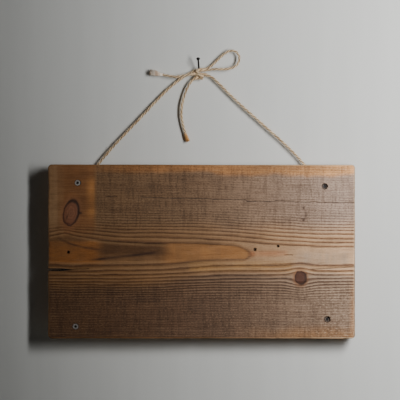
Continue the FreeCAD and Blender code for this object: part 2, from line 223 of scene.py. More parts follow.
def patch(u, w, left, right, bottom, top, soft=3.0):
    """1 inside a rectangle, eased to 0 over soft on each side."""
    return (ease(u, left - soft, left + soft) * ease(-u, -right - soft, -right + soft)
            * ease(w, bottom - soft, bottom + soft) * ease(-w, -top - soft, -top + soft))


def drift(u, v, seed, cells=64):
    """Smooth random field from -1 to 1: random values on a square grid, blended by 3t^2 - 2t^3 between."""
    table = np.random.default_rng(seed).uniform(-1, 1, (cells, cells))
    i, j = np.floor(u).astype(int), np.floor(v).astype(int)
    p, q = (f * f * (3 - 2 * f) for f in (u - i, v - j))
    near = table[i % cells, j % cells] * (1 - p) + table[(i + 1) % cells, j % cells] * p
    far = table[i % cells, (j + 1) % cells] * (1 - p) + table[(i + 1) % cells, (j + 1) % cells] * p
    return near * (1 - q) + far * q


def piece(name, points, faces, material, body, values=None, sharp=None):
    """A mesh object in metres that rides on a body, with numbers and colours kept on its points."""
    mesh = bpy.data.meshes.new(name)
    mesh.from_pydata(points.tolist(), [], faces)
    for key, value in (values or {}).items():
        if value.ndim == 1:
            mesh.attributes.new(key, "FLOAT", "POINT").data.foreach_set("value", value.astype(np.float32))
        else:
            layer = mesh.attributes.new(key, "FLOAT_COLOR", "POINT")
            opaque = np.append(value, np.ones((len(value), 1)), 1)
            layer.data.foreach_set("color", opaque.astype(np.float32).ravel())
    mesh.shade_smooth()
    if sharp:
        mesh.set_sharp_from_angle(angle=math.radians(sharp))
    mesh.materials.append(material)
    made = bpy.data.objects.new(name, mesh)
    bpy.context.scene.collection.objects.link(made)
    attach(made, body)
    return made


# ---------------------------------------------------------------- timber surfaces

def graded(low, high, count, marks, width, gain):
    """count + 1 places at equal shares of a density, which is 1, and 1 + gain within width of each mark."""
    fine = np.linspace(low, high, 6000)
    density = 1 + gain * np.minimum(1, sum(np.exp(-((fine - m) / width) ** 4) for m in marks))
    total = np.concatenate([[0], np.cumsum((density[1:] + density[:-1]) / 2)])
    return np.interp(np.linspace(0, total[-1], count + 1), total, fine)


def shell(xs, ys, zs):
    """The closed skin of a block lattice: its outside points, and each side's cells as quads."""
    size = (len(xs), len(ys), len(zs))
    i, j, k = np.indices(size)
    skin = (i % (size[0] - 1) == 0) | (j % (size[1] - 1) == 0) | (k % (size[2] - 1) == 0)
    number = np.full(size, -1)
    number[skin] = np.arange(skin.sum())
    faces = []
    for axis in range(3):
        for end in (0, -1):
            side = np.take(number, end, axis)
            quads = np.stack([side[:-1, :-1], side[1:, :-1], side[1:, 1:], side[:-1, 1:]], -1).reshape(-1, 4)
            outward = (end == -1) == (axis != 1)
            faces.append(quads if outward else quads[:, ::-1])
    return np.stack([xs[i[skin]], ys[j[skin]], zs[k[skin]]], 1), np.concatenate(faces)


def rounded(points, low, high, corner, arris):
    """A block's skin with its corners and all its arrises rounded, and the outward direction at each point.

    Near a corner or an arris a point lies on a square about the rounding's centre, and it is drawn in to the
    circle: its offset from the centre keeps its direction and takes the length of its longer side.
    """
    face = points[:, [0, 2]]
    inner = np.clip(face, low[[0, 2]] + corner, high[[0, 2]] - corner)
    offset = face - inner
    length = np.maximum(np.linalg.norm(offset, axis=1), 1e-9)
    sideways = offset / length[:, None]
    to_edge = np.minimum(face - low[[0, 2]], high[[0, 2]] - face).min(1)
    depth = np.minimum(points[:, 1] - low[1], high[1] - points[:, 1])
    front = np.where(points[:, 1] < (low[1] + high[1]) / 2, -1.0, 1.0)
    edge_part, face_part = np.maximum(arris - to_edge, 0), np.maximum(arris - depth, 0)
    reach = np.maximum(np.hypot(edge_part, face_part), 1e-9)
    share = np.maximum(edge_part, face_part) / reach
    placed = inner + sideways * (np.abs(offset).max(1) - edge_part * (1 - share))[:, None]
    made = np.stack([placed[:, 0], points[:, 1] - front * face_part * (1 - share), placed[:, 1]], 1)
    outward = np.stack([sideways[:, 0] * edge_part, front * face_part, sideways[:, 1] * edge_part], 1)
    plain = reach < 1e-6
    outward[plain] = np.stack([sideways[plain, 0], 0 * front[plain], sideways[plain, 1]], 1)
    return made, outward / np.maximum(np.linalg.norm(outward, axis=1), 1e-9)[:, None]


# The board's marks, from its middle: each knot's place, half width, half height and lean in degrees.
KNOTS = ((-127.6, 37.6, 7.2, 12.2, -12.0), (96.7, -25.6, 5.6, 6.3, 8.0))
SCAR = (98.6, 37.5, 2.6, 6.6, 6.0)
OLD_NAIL_HOLES = ((-130.0, -0.6, 1.1), (52.3, 2.1, 1.25), (74.8, 5.3, 1.0))
SPLIT_LEVEL, SPLIT_LENGTH, SPLIT_GAPE = -17.7, 17.0, 1.0
HEART_ABOVE, HEART_BELOW, HEART_TIP = 9.2, 13.2, 47.0
BLEACHED_FROM = -102.8
# The screws' holes: their radius, and how deep the left and the right pair are sunk. Last, an old
# nail hole's depth.
SCREW_HOLE, LEFT_SUNK, RIGHT_SUNK, NAIL_HOLE_DEPTH = 2.75, 3.4, 7.2, 5.0
# How far the seen crack runs on past the split's inner end.
CRACK_PAST_SPLIT = 9
# A distance for points that no crack or hole is near.
NO_CRACK = 40.0


def knot_distance(u, w, knot):
    """Distance from a leaning ellipse's middle, counted in its own half sizes, so that its rim is at 1."""
    place_u, place_w, half_u, half_w, lean = knot
    c, s = math.cos(math.radians(lean)), math.sin(math.radians(lean))
    du, dw = u - place_u, w - place_w
    return np.hypot((du * c + dw * s) / half_u, (dw * c - du * s) / half_w)


def parted(u, w):
    """How far each knot pushes the grain up or down: most at its rim, dying away with distance."""
    push = 0
    for (place_u, place_w, half_u, half_w, _), force in zip((*KNOTS, SCAR), (0.25, 0.75, 0.12)):
        du, dw = u - place_u, w - place_w
        push = push + (force * half_w * np.tanh(dw / (0.55 * half_w))
                       * np.exp(-(du / (1.9 * half_u)) ** 2 - np.abs(dw) / (2.4 * half_w)))
    return push


def growth(t):
    """Rings counted outward from the heart over t millimetres: each narrower than the last, then even."""
    near = np.minimum(t, 22.0)
    return 0.159 * near + 0.00575 * near * np.abs(near) + 0.412 * np.maximum(t - 22.0, 0)


def from_heart(u, w):
    """Millimetres outside the pale heart, which narrows to a tip on the right and peaks under the left knot.

    Both sides follow the same lines: the upper ones sag and the lower ones rise to the right, and the peak
    and these bends die away outwards.
    """
    w = w - parted(u, w) + 0.50 * drift(u / 38, w / 9, 11) + 0.22 * drift(u / 13, w / 4, 12)
    fading_up = np.exp(-np.maximum(w - 12, 0) / 15)
    peak = 16.0 * np.exp((4 - np.sqrt((u + 133) ** 2 + 16)) / 16) * fading_up
    sag = -5.1 * (1 + np.tanh((u - 45) / 60)) * (0.45 + 0.55 * fading_up)
    rise = 2.9 * (1 + np.tanh((u + 18) / 32)) * np.exp(-np.maximum(-w - 10, 0) / 24)
    above = w - sag - peak - HEART_ABOVE
    below = rise - w - HEART_BELOW
    past_tip = np.minimum((u - HEART_TIP + 0.19 * (w + 2.5) ** 2) / 2, 3.0)
    return np.maximum(np.maximum(above, below), past_tip)


def line_offsets(u, w):
    """Signed distance across the nearest fine crack: two long ones, a slit, a seam and the split's end."""
    wander = 0.5 * drift(u / 16, 0 * w, 21) + 0.25 * drift(u / 5, 0 * w, 22)
    there = drift(u / 11, 0 * w, 23) > -0.25 - 0.5 * np.exp(-((u - 14) / 30) ** 2)
    long_crack = w - 52.4 + 0.026 * (u + 30) - 0.6 * wander
    long_crack = np.where((u > -101) & there, long_crack, NO_CRACK)
    lower_crack = np.where((u > 30) & (u < 146) & ~there, w - 49.6 + 0.012 * u - 0.5 * wander, NO_CRACK)
    slit = np.where((u > 80) & (u < 89.5), w + 3.3 - 0.2 * wander, NO_CRACK)
    seam = np.where(u > 106, w + 17.2 - 0.05 * (u - 106) - 0.4 * wander, NO_CRACK)
    past_split = np.where((u > -134) & (u < -108), w + 18.0 - 0.05 * (u + 134) - 0.5 * wander, NO_CRACK)
    found = long_crack
    for other in (lower_crack, slit, seam, past_split):
        found = np.where(np.abs(other) < np.abs(found), other, found)
    return found


def dark_lines(u, w):
    """Share of dark resin, in bell curves: a climbing streak, an arc, and knots' rims thicker on one side."""
    broken = 0.85 + 0.3 * drift(u / 9, w / 1.6, 43)
    climb = -7.9 + 0.115 * (u + 104)
    streak = np.exp(-((w - climb) / (1.1 + 0.010 * (u + 104))) ** 2) * ease(u, -112, -98) * ease(-u, 41, 49)
    hill = 12 * np.exp(-(u + 138) / 21)
    arc = np.exp(-(w - 0.2 - hill) ** 2) * ease(u, -142, -137) * ease(-u, 92, 108)
    crescents = 0
    for knot, thick, side in zip((*KNOTS, SCAR), (0.13, 0.17, 0.22), ((0.8, 0.6), (0.9, -0.45), (1.0, 0.0))):
        facing = ((u - knot[0]) * side[0] / knot[2] + (w - knot[1]) * side[1] / knot[3])
        thickness = thick * (0.6 + 0.6 * ease(facing, -0.4, 0.9))
        rim = np.exp(-((knot_distance(u, w, knot) - 1.02) / thickness) ** 2)
        crescents = crescents + rim * (0.32 + 0.75 * ease(facing, -0.6, 0.8))
    du, dw = u - KNOTS[0][0], w - KNOTS[0][1]
    notch = np.exp(-((du - 9.4) / 1.5) ** 2 - (dw / 1.1) ** 2)
    checks = np.exp(-((du + 2.6 - 0.3 * dw) / 0.8) ** 2 - ((dw + 3.6) / 2.6) ** 2)
    return np.clip((1.10 * streak + 0.75 * arc) * broken + crescents + 1.2 * notch + 0.8 * checks, 0, 1)


def over(ground, colour, share):
    """A colour laid over others by a share at each point."""
    return ground + (colour - ground) * np.clip(share, 0, 1)[:, None]


def ground_colour(colours, u, w, t):
    """The wood's own colour at each point, in linear light, without its lines, knots and cracks.

    Bands run along the board: the heart, the early wood beside it, the bleached fields and the brown edges.
    Each pales to the right by the 2.2th power of the way along, partly the wood's weathering and partly a
    painted sheen of the light from the right, and soft patches of amber, grey and dirt lie on them.
    """
    # Painted sheen in part: the paling to the right is partly weathering and partly the sheen of the light
    # from the right.
    pale = (np.clip((u + 55) / 192, 0, 1) ** 2.2)[:, None]
    wave = 2.0 * drift(u / 24, 0 * w, 44) + 1.0 * drift(u / 8, w / 8, 45)
    mottle = drift(u / 26, w / 9, 46) + 0.6 * drift(u / 9, w / 4, 47)
    upright = drift(u / 3.4, w / 38, 48)
    ragged = 2.2 * upright + 1.6 * mottle

    def band(name):
        brown, light = (np.array(linear(getattr(colours, end + name))[:3]) for end in ("", "pale_"))
        return brown * (1 - pale) + light * pale

    def laid(ground, *coats):
        for code, share in coats:
            ground = over(ground, np.array(linear(code)[:3]), share)
        return ground

    bleached = ease(u, BLEACHED_FROM - 0.9, BLEACHED_FROM + 0.9)
    leftwards = ease(-u, -10, 60)
    ground = over(band("early_wood"), band("bleached"), ease(w + wave, 15, 34) * bleached)
    ground = over(ground, band("shaded"), ease(-w + 0.6 * wave, 19 + 8 * leftwards, 25 + 16 * leftwards))
    inside = ease(-t, -0.7, 0.9)
    left_end = ease(-u, 104.5, 106) * ease(w, 12, 24)
    ground = laid(
        ground,
        # The heart: amber to the left and in the lens, greyed between, and tan past its tip.
        (colours.amber, inside * ease(u, -50, -24) * ease(-u, -52, -46) * (0.93 + 0.15 * upright)),
        ("#a06833", ease(-w, -12, -8) * ease(w, -13.5, -10.5) * ease(-u, 90, 108) * (0.85 + 0.2 * mottle)),
        ("#5f4024", inside * ease(u, -104, -92) * ease(-u, 26, 44) * ease(w, -6, 0) * 0.9),
        ("#a87c45", patch(u, w, -12, 88, -19, -9.5, 1.5) * (0.55 + 0.25 * mottle)),
        ("#a9683c", patch(u, w - 0.04 * (u - 47), 47, 84, -5.2, -0.2, 2) * (0.45 + 0.4 * mottle)),
        ("#8b7868", patch(u, w, 92, 143, -13, -1, 3) * (0.45 + 0.35 * upright)),
        # The left end: orange beside the bleached field, and ragged upright weathering at the very end.
        ("#815631", left_end),
        ("#b67f48", left_end * ease(u, -116, -105) * ease(w, 26, 46) * ease(-w, -76, -64)
         * (0.8 + 0.3 * mottle)),
        ("#987857", ease(-u + ragged, 132, 144) * ease(w + 2 * ragged, 10, 34) * (0.85 + 0.3 * upright)),
        ("#3a2b1e", ease(-u + ragged, 138, 149) * ease(w + 2 * ragged, 52, 80) * (0.15 + 0.5 * upright)))
    # The edges: orange along the top; tan at the lower right corner, a painted highlight of the right edge
    # that faces the light.
    top = ease(w + 0.8 * wave + 3.2 * ease(u, -20, 70), 75.5, 81) * ease(u, -136, -60)
    lit = (0.80 + 0.42 * ease(u, -110, -20)) * (1 + 0.14 * mottle)
    ground = laid(over(ground, band("edge") * lit[:, None], top),
                  ("#94693f", ease(-w + wave, 70, 82) * ease(u, 20, 110) * 0.8),
                  ("#b8875a", ease(u, 143, 149) * ease(-w, 15, 50) * 0.7))
    # Towards the left, and more so below, the wood has kept its warm brown.
    warm = ease(-u, -10, 105)[:, None] * (0.7 + 0.5 * ease(-w, 8, 30))[:, None]
    return ground * (1 + 0.09 * mottle + 0.06 * upright)[:, None] * (1 - warm * np.array((0.06, 0.15, 0.33)))


def board_fields(points, outward, colours):
    """What the finish needs at each point of the board: colour, ring count, knots, cracks and worn edges."""
    u, w = points[:, 0] - BOARD_MIDDLE[0], points[:, 2] - BOARD_MIDDLE[2]
    faced = ease(-outward[:, 1], 0.2, 0.8)
    t = from_heart(u, w)
    nearest = np.minimum(knot_distance(u, w, KNOTS[0]), knot_distance(u, w, KNOTS[1]))
    nearest = nearest + 0.08 * drift(u / 2.6, w / 2.6, 31) + 0.04 * drift(u / 1.1, w / 1.1, 32)
    lens = ease(-t, -0.6, 0.8) * ease(u, -40, -22) * ease(-u, -50, -46)
    around_left_knot = ease(-u, 103, 108) * ease(w, 20, 30)
    half_u, _, half_w = (BOARD_HIGH - BOARD_LOW) / 2
    to_rim = np.minimum(half_u - np.abs(u), half_w - np.abs(w))
    far_up, far_down = ease(w, 20, 48), ease(-w, 30, 56)
    clear = (1 - 0.9 * lens) * (1 - 0.8 * around_left_knot)
    sunned = ease(w, 14, 34) * ease(u, BLEACHED_FROM - 1, BLEACHED_FROM + 1)
    return {
        "ground": ground_colour(colours, u, w, t),
        "ring": np.maximum(growth(t), -0.8),
        "line_strength": faced * (1 - 0.74 * np.maximum(far_up, far_down)) * clear,
        # The same paling to the right, partly weathering and partly painted sheen.
        "paleness_and_sheen": np.clip((u + 55) / 190, 0, 1) ** 1.9,
        "greyness": faced * np.maximum(sunned, ease(-w, 24, 44)),
        "stain": faced * dark_lines(u, w),
        "knot": np.where(faced > 0.5, nearest, 3.0),
        "crack": np.where(faced > 0.5, line_offsets(u, w), NO_CRACK),
        "rim": np.clip(to_rim, 0, 12),
        "face": faced,
        "end": np.abs(outward[:, 0]) * ease(np.abs(outward[:, 0]), 0.3, 0.8),
    }


def board_relief(points, values):
    """Height of the weathered surface above the plain board, in millimetres.

    The hard late wood stands proud in a bell curve round each whole ring count, and the early wood is scoured
    between. The saw left faint upright ripples, knots stand a little high inside a sunk rim, and cracks are
    narrow troughs.
    """
    u, w = points[:, 0] - BOARD_MIDDLE[0], points[:, 2] - BOARD_MIDDLE[2]
    phase = values["ring"] - np.floor(values["ring"])
    late = np.exp(-(np.minimum(phase, 1 - phase) / 0.17) ** 2)
    bright_ridges = 1 + 1.2 * patch(u, w, 108, 170, -50, -22, 6)
    height = 0.20 * values["line_strength"] * bright_ridges * (late - 0.4)
    height += 0.03 * drift(u / 2.1, w / 30, 51) * values["greyness"]
    height += 0.10 * drift(u / 30, w / 1.7, 52) + 0.16 * drift(u / 60, w / 22, 53)
    height += 0.35 * ease(-values["knot"], -1.1, -0.7) - 0.30 * ease(-values["knot"], -1.02, -0.98) * ease(
        values["knot"], 0.85, 0.97)
    height -= 0.55 * np.exp(-(values["crack"] / 0.55) ** 2)
    height -= 0.5 * ease(-w, 18.6, 19.6) * ease(u, 100, 118) * values["face"]
    height += 0.30 * np.exp(-((knot_distance(u, w, SCAR) - 0.9) / 0.16) ** 2) * values["face"]
    return height


def worn_arris(points):
    """Rounding of the arris at each point: tight, with softer and chipped stretches wandering along it."""
    run = points[:, 0] + 1.7 * points[:, 2]
    side = np.where(points[:, 1] < BOARD_MIDDLE[1], 0.0, 50.0)
    wear = 0.5 + 0.5 * drift(run / 23, side, 61)
    chips = ease(drift(run / 6, side + 9, 62), 0.35, 0.8)
    return 1.1 + 0.9 * wear + 1.0 * chips


def sunk(points, middle_x, middle_z, radius, depth):
    """Presses the face in round a hole: points near its rim move to the rim, and the inner ones go deep."""
    from_middle = points[:, [0, 2]] - (middle_x, middle_z)
    away = np.maximum(np.linalg.norm(from_middle, axis=1), 1e-9)
    on_face = points[:, 1] < BOARD_MIDDLE[1]
    rim = on_face & (np.abs(away - radius) < 0.45)
    to_rim = np.where(away < radius, radius - 0.04, radius + 0.04) / away
    points[rim, 0] = middle_x + (from_middle[rim, 0] * to_rim[rim])
    points[rim, 2] = middle_z + (from_middle[rim, 1] * to_rim[rim])
    points[on_face & (away < radius), 1] += depth
    return np.where(on_face, np.abs(away - radius), NO_CRACK)


def board_surface(colours):
    """The board's points in millimetres, its quads and fields: lattice, rounding, relief, split, holes."""
    screws = [sum(map(np.array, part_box(node))) / 2 / MM for node in SUNK_SCREWS]
    old_holes = [(BOARD_MIDDLE[0] + u, BOARD_MIDDLE[2] + w, r) for u, w, r in OLD_NAIL_HOLES]
    split_z = BOARD_MIDDLE[2] + SPLIT_LEVEL
    ends = (BOARD_LOW[0], BOARD_HIGH[0])
    rims = (BOARD_LOW[2], BOARD_HIGH[2])
    xs = graded(*ends, 186, [*ends, *(s[0] for s in screws), *(h[0] for h in old_holes)], 3.6, 2.0)
    zs = graded(*rims, 216, [*rims, split_z, *(s[2] for s in screws), *(h[1] for h in old_holes)], 3.4, 1.0)
    ys = graded(BOARD_LOW[1], BOARD_HIGH[1], 12, [BOARD_LOW[1], BOARD_HIGH[1]], 2.2, 3.0)
    points, quads = shell(xs, ys, zs)
    made, outward = rounded(points, BOARD_LOW, BOARD_HIGH, 3.5, worn_arris(points))
    values = board_fields(made, outward, colours)
    made = made + outward * board_relief(made, values)[:, None]
    beside = np.abs(made[:, 2] - split_z - 0.25 * drift(made[:, 0] / 4, 0 * made[:, 0], 71))
    reach = BOARD_LOW[0] + SPLIT_LENGTH * (1 - (np.minimum(beside / SPLIT_GAPE, 1)) ** 1.6)
    in_split = (beside < SPLIT_GAPE) & (made[:, 0] < reach)
    made[in_split, 0] = reach[in_split]
    rims_near = [sunk(made, s[0], s[2], SCREW_HOLE, LEFT_SUNK if s[0] < 0 else RIGHT_SUNK) for s in screws]
    rims_near += [sunk(made, x, z, r, NAIL_HOLE_DEPTH) for x, z, r in old_holes]
    values["hole"] = np.minimum.reduce(rims_near)
    to_crack_end = BOARD_LOW[0] + SPLIT_LENGTH + CRACK_PAST_SPLIT - made[:, 0]
    gape = 0.15 + 0.9 * ease(to_crack_end, 0, 14)
    values["split"] = np.where(to_crack_end > 0, (made[:, 2] - split_z) / gape, NO_CRACK)
    return made, quads, values


def batten_surface(node, seed):
    """A sawn batten in millimetres: lattice skin with rounded arrises, and the saw's ripples across it."""
    low, high = (np.array(corner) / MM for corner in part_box(node))
    xs = graded(low[0], high[0], 26, [low[0], high[0]], 1.6, 2.0)
    ys = graded(low[1], high[1], 14, [low[1], high[1]], 1.6, 2.0)
    zs = graded(low[2], high[2], 150, [low[2], high[2]], 2.0, 2.0)
    points, quads = shell(xs, ys, zs)
    arris = 0.7 + 0.5 * np.abs(drift(points[:, 2] / 11, points[:, 0] / 9, seed))
    made, outward = rounded(points, low, high, 1.0, arris)
    u, w = made[:, 0] - low[0], made[:, 2]
    wander = 0.35 * drift(w / 40, u / 8, seed + 1) + 0.1 * drift(w / 9, u / 3, seed + 2)
    ring = (u + 1.3 * made[:, 1] * 0.4) / 2.6 + wander
    # Nothing stands proud of the faces that lie on the board and on the wall.
    ripples = 0.08 * np.sin((w + 0.22 * u) * 2 * math.pi / 3.1)
    height = -0.10 - ripples - 0.06 * drift(w / 1.6, u / 6, seed + 3)
    lying = np.abs(outward[:, 1]) > 0.9
    made = made + outward * np.where(lying, np.minimum(height, -0.02), height)[:, None]
    return made, quads, {"ring": ring, "end": np.abs(outward[:, 2])}


# ---------------------------------------------------------------- finishes

def scaled(tree, colour, share, code):
    """A colour times another by share: dark codes darken it and keep its hue."""
    return blended(tree, share, colour, code, "MULTIPLY")


def weathered_pine():
    """Old pine board, plain sawn and left outdoors: grey where the sun bleached it, amber where it is sound.

    The eye sees crisp dark late wood on scoured early wood, almost no gloss, and a paler, greyer right end,
    partly weathering and partly painted sheen.
    """
    material, tree, shader = finish_of("weathered_pine_board", 0.74, specular=0.32)
    wood = add(tree, "ShaderNodeAttribute", attribute_name="ground").outputs["Color"]
    ring, strength, grey, knot, crack, pale = (attribute(tree, name) for name in (
        "ring", "line_strength", "greyness", "knot", "crack", "paleness_and_sheen"))
    # Wood fibres are 0.04 mm wide; they are drawn 0.8 mm wide and 22 mm long so that they show.
    fibres = speckle(tree, (22, 0.9, 0.8), detail=4.0, roughness=0.62)
    flecks = speckle(tree, (5, 0.7, 0.6), detail=2.0)
    clouds = speckle(tree, (40, 9, 8), detail=3.0, distortion=0.4)
    # The saw's upright marks are 3 mm wide and about 22 mm long, and broken by the grain.
    saw_marks = speckle(tree, (3.0, 9, 22), detail=2.0, roughness=0.5, distortion=0.8)
    # Raised and torn fibre ends show as specks 1 to 2 mm across.
    specks = speckle(tree, (2.0, 2.0, 1.1), detail=2.0, roughness=0.7)
    phase = maths(tree, "FRACT", sloped(tree, fibres, 0.30, ring))
    late = ramp(tree, phase, (0.0, "#c4c4c4"), (0.12, "#ffffff"), (0.28, "#d8d8d8"), (0.40, "#6a6a6a"),
                (0.58, "#1c1c1c"), (0.82, "#000000"), (0.94, "#505050"), (1.0, "#c4c4c4"))
    broken = between(tree, flecks, 0.30, 0.62)
    line = times(tree, times(tree, late, strength), sloped(tree, broken, 0.50, 0.60), clamp=True)
    # Scoured early wood is paler between the dark lines, partly its own colour and partly a painted highlight
    # on the ridges; the dark lines are a redder brown than the ground.
    pale_band_and_highlight = times(tree, between(tree, phase, 0.50, 0.72), strength)
    wood = blended(tree, times(tree, pale_band_and_highlight, 0.30), wood, blended(tree, pale, "#a07c54", "#dcbd9b"))
    for share, code in (
            (times(tree, between(tree, clouds, 0.40, 0.72), 0.35), "#b9aea6"),
            (times(tree, between(tree, saw_marks, 0.42, 0.70), sloped(tree, grey, 0.34, 0.10)), "#a89d93"),
            (times(tree, between(tree, specks, 0.50, 0.66), sloped(tree, grey, 0.40, 0.20)), "#a3968b"),
            (times(tree, line, sloped(tree, pale, 0.22, 0.78), clamp=True), "#8e7a70"),
            (times(tree, between(tree, fibres, 0.52, 0.74), 0.55), "#a3907f")):
        wood = scaled(tree, wood, share, code)
    fair = times(tree, between(tree, specks, 0.44, 0.30), sloped(tree, grey, 0.22, 0.08))
    fair = sloped(tree, between(tree, fibres, 0.44, 0.24), 0.26, fair)
    wood = blended(tree, fair, wood, blended(tree, pale, "#a5835d", "#dcc3a6"))
    # Worn arrises show fresh wood; their rim also carries a painted highlight, pale towards the right where
    # the light falls.
    worn = between(tree, sloped(tree, fibres, 1.2, attribute(tree, "rim")), 2.4, 1.1)
    wood = blended(tree, times(tree, worn, 0.6), wood, blended(tree, pale, "#8a5f35", "#e2bf98"))
    # Knots: red-brown rings like the wood round them, a thin black rim and an orange halo of old resin.
    knot_rings = maths(tree, "SINE", sloped(tree, knot, 19.0, times(tree, flecks, 5.0)))
    heart = ramp(tree, knot, (0.0, "#56331f"), (0.20, "#85563a"), (0.66, "#805035"), (0.88, "#6f452d"),
                 (0.97, "#55311f"))
    heart = blended(tree, sloped(tree, knot_rings, 0.14, 0.14), heart, "#3a2015")
    heart = blended(tree, times(tree, pale, 1.15, clamp=True), heart, "#3b221a")
    wood = blended(tree, times(tree, between(tree, knot, 1.75, 1.02), 0.62), wood, "#8a5a38")
    wood = blended(tree, between(tree, knot, 1.10, 1.02), wood, heart)
    wood = blended(tree, attribute(tree, "stain"), wood, blended(tree, fibres, "#1e0f07", "#452a18"))
    # Cracks, the end split and the holes are dark with dirt and with painted shade inside them, the split's
    # gap near black, and the split is paler just outside.
    gap = between(tree, maths(tree, "ABSOLUTE", crack), 0.58, 0.14)
    split = maths(tree, "ABSOLUTE", attribute(tree, "split"))
    for share, code in (
            (times(tree, gap, sloped(tree, broken, 0.5, 0.4)), "#23160e"),
            (times(tree, between(tree, split, 3.2, 1.6), 0.3), "#936a42"),
            (between(tree, split, 1.45, 1.08), "#070403"),
            (times(tree, between(tree, attribute(tree, "hole"), 0.9, 0.1), 0.7), "#2a1a10")):
        wood = blended(tree, share, wood, code)
    # The back and the edges were never bleached: plain brown, with darker sawn end grain.
    back = blended(tree, fibres, "#7a5b3f", "#a98761")
    back = blended(tree, times(tree, late, 0.4), back, "#5c3d26")
    back = blended(tree, 0.5, back, blended(tree, pale, "#6a4a30", "#b08c68"))
    wood = blended(tree, attribute(tree, "face"), back, wood)
    end_grain = blended(tree, speckle(tree, (0.9, 0.9, 0.9), detail=2.0), "#3b2717", "#8a6a4c")
    wood = blended(tree, times(tree, attribute(tree, "end"), 0.75), wood, end_grain)
    height = sloped(tree, line, 0.55, times(tree, fibres, -0.75))
    height = sloped(tree, saw_marks, times(tree, grey, -0.35), height)
    coat(tree, shader, wood, height, 0.0006, 0.9, sloped(tree, fibres, 0.24, 0.60))
    return material


def sawn_spruce():
    """Rough sawn spruce batten, never planed: tan, dull and furry, with narrow brown rings along it."""
    material, tree, shader = finish_of("rough_sawn_spruce", 0.82, specular=0.25)
    fibres = speckle(tree, (0.8, 0.9, 18), detail=4.0, roughness=0.6)
    saw = speckle(tree, (12, 12, 1.4), detail=2.0)
    phase = maths(tree, "FRACT", sloped(tree, fibres, 0.4, attribute(tree, "ring")))
    late = ramp(tree, phase, (0.0, "#ffffff"), (0.3, "#555555"), (0.7, "#000000"), (1.0, "#ffffff"))
    wood = blended(tree, fibres, "#8b6a48", "#b8956a")
    wood = blended(tree, times(tree, late, 0.6), wood, "#6d4a2d")
    wood = blended(tree, times(tree, between(tree, saw, 0.5, 0.75), 0.35), wood, "#57402b")
    wood = blended(tree, times(tree, attribute(tree, "end"), 0.5), wood, "#4f3824")
    coat(tree, shader, wood, sloped(tree, saw, 0.6, times(tree, fibres, -0.6)), 0.0005, 0.8)
    return material


def jute(name, colour, groove_shade):
    """Raw jute, loosely spun: straw gold fibres, a little silky, with painted shade darkening them where the
    strands meet.
    """
    material, tree, shader = finish_of(name, 0.85, specular=0.3)
    shader.inputs["Sheen Weight"].default_value = 0.35
    shader.inputs["Sheen Roughness"].default_value = 0.5
    place = add(tree, "ShaderNodeUVMap", uv_map="run").outputs[0]
    # Jute fibres are 0.06 mm wide; they are drawn 0.35 mm wide along the strand so that they show.
    run = add(tree, "ShaderNodeMapping", {"Vector": place, "Scale": (1 / 4.0, 1 / 0.35, 1.0)}).outputs[0]
    streaks = add(tree, "ShaderNodeTexNoise", {"Vector": run, "Scale": 1.0, "Detail": 3.0}).outputs["Fac"]
    patches = between(tree, speckle(tree, (9, 9, 9), detail=2.0), 0.42, 0.70)
    # Painted shade: points lying deeper between the strands are darkened to brown.
    groove_shade_mask = between(tree, attribute(tree, "outwardness"), 0.96, 0.70)
    straw = blended(tree, between(tree, streaks, 0.28, 0.62), "#ad7b42", colour)
    straw = blended(tree, times(tree, patches, 0.25), straw, "#b98a53")
    straw = blended(tree, times(tree, groove_shade_mask, groove_shade), straw, "#472a13")
    coat(tree, shader, straw, streaks, 0.0003, 0.8)
    return material


def iron(name, bright, dark, roughness, metallic, pitch_mm, recess=None):
    """Small ironwork: bright metal dulled by rust or scale in patches of pitch_mm, with painted shade in its
    recess.
    """
    material, tree, shader = finish_of(name, roughness, metallic)
    patches = speckle(tree, (pitch_mm,) * 3, detail=4.0, roughness=0.65)
    worn = between(tree, patches, 0.40, 0.62)
    colour = blended(tree, worn, bright, dark)
    if recess:
        place = add(tree, "ShaderNodeTexCoord").outputs["Object"]
        on_head = add(tree, "ShaderNodeMapping", {
            "Vector": place, "Location": (-recess[0], 0, -recess[2]), "Scale": (1, 0, 1)}).outputs[0]
        away = add(tree, "ShaderNodeVectorMath", {0: on_head}, operation="LENGTH").outputs["Value"]
        # Painted shade: the head turns near black within about 1.5 mm of its middle, where the recess lies.
        colour = blended(tree, between(tree, away, 1.55 * MM, 1.0 * MM), colour, "#0e0a08")
    coat(tree, shader, colour, patches, 0.0002, 0.5, sloped(tree, worn, 0.3, roughness - 0.1, clamp=True))
    return material


def plain_plaster(name, colour):
    """Matt painted plaster for the stage."""
    material, tree, shader = finish_of(name, 0.9)
    cloud = speckle(tree, (22, 60, 260), detail=3.0)
    tree.links.new(blended(tree, cloud, colour, "#cfcfc9"), shader.inputs["Base Color"])
    return material, tree, shader


# ---------------------------------------------------------------- twine surfaces

def smooth_line(route):
    """The points of the NURBS line through a route, as Blender draws it."""
    curve = bpy.data.curves.new("route", "CURVE")
    curve.dimensions = "3D"
    spline = curve.splines.new("NURBS")
    spline.points.add(len(route) - 1)
    spline.points.foreach_set("co", [value for point in route for value in (*point, 1.0)])
    spline.order_u = 3
    spline.use_endpoint_u = True
    curve.resolution_u = 40
    carrier = bpy.data.objects.new("route", curve)
    mesh = bpy.data.meshes.new_from_object(carrier)
    line = np.array([v.co for v in mesh.vertices])
    bpy.data.meshes.remove(mesh)
    bpy.data.objects.remove(carrier)
    bpy.data.curves.remove(curve)
    return line


def even(line, step):
    """The same line with points step apart."""
    along = np.concatenate([[0], np.cumsum(np.linalg.norm(np.diff(line, axis=0), axis=1))])
    at = np.linspace(0, along[-1], max(8, round(along[-1] / step)) + 1)
    return np.stack([np.interp(at, along, line[:, k]) for k in range(3)], 1), at


